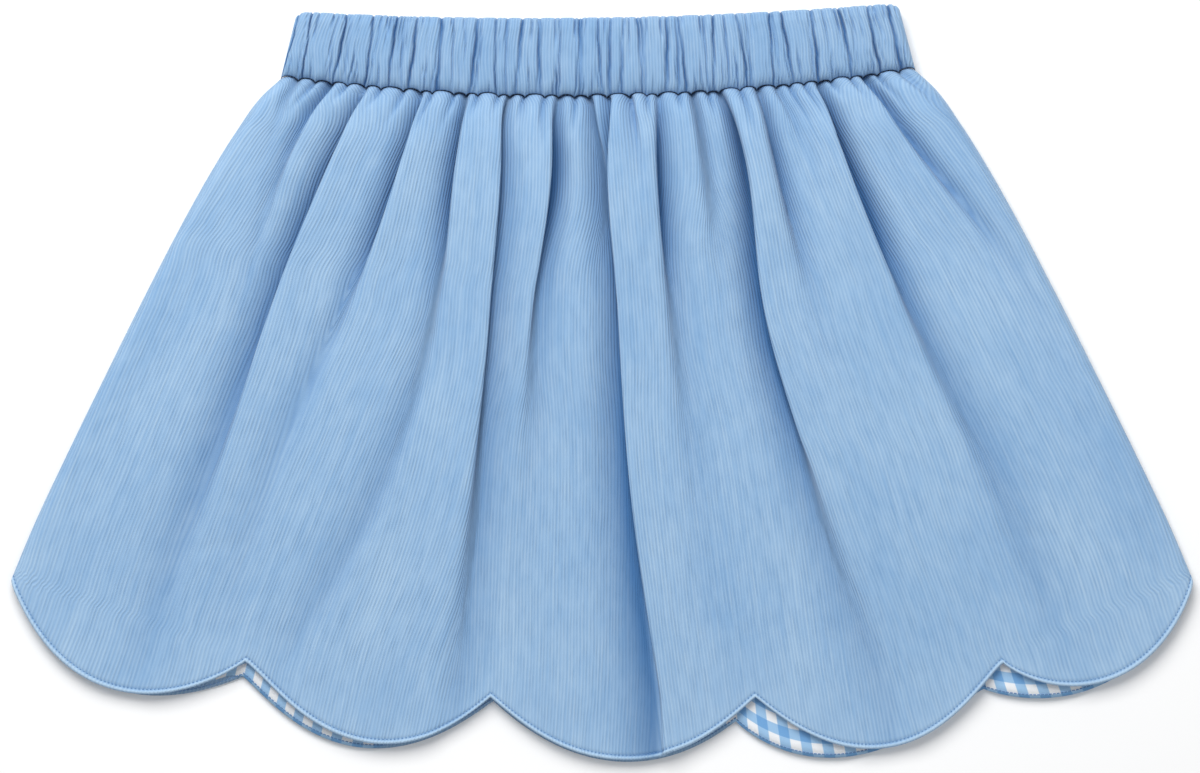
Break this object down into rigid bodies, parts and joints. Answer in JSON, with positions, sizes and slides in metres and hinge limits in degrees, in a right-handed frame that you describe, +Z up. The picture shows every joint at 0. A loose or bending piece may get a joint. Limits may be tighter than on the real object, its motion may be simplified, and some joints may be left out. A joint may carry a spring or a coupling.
{
  "type": "reversible skirt",
  "caption": "Child's gathered reversible skirt with an elasticated waistband and a scalloped hem, needlecord outside and gingham inside, laid flat.",
  "frame": {"origin": "middle of the skirt's outline, on the surface it lies on", "axes": "+X to the right along the waistband, +Y from hem to waist, +Z up from the surface, towards the front of the skirt"},
  "size_m": [0.483, 0.31, 0.0167],
  "materials": {
    "corduroy": "fine-ribbed cotton corduroy, light blue",
    "gingham": "plain-woven cotton gingham, light blue and white"
  },
  "bodies": {
    "root": {"cord_front": "corduroy", "cord_back": "corduroy", "gingham_front": "gingham", "gingham_back": "gingham", "waistband_front": "corduroy", "waistband_back": "corduroy"}
  },
  "joints": []
}
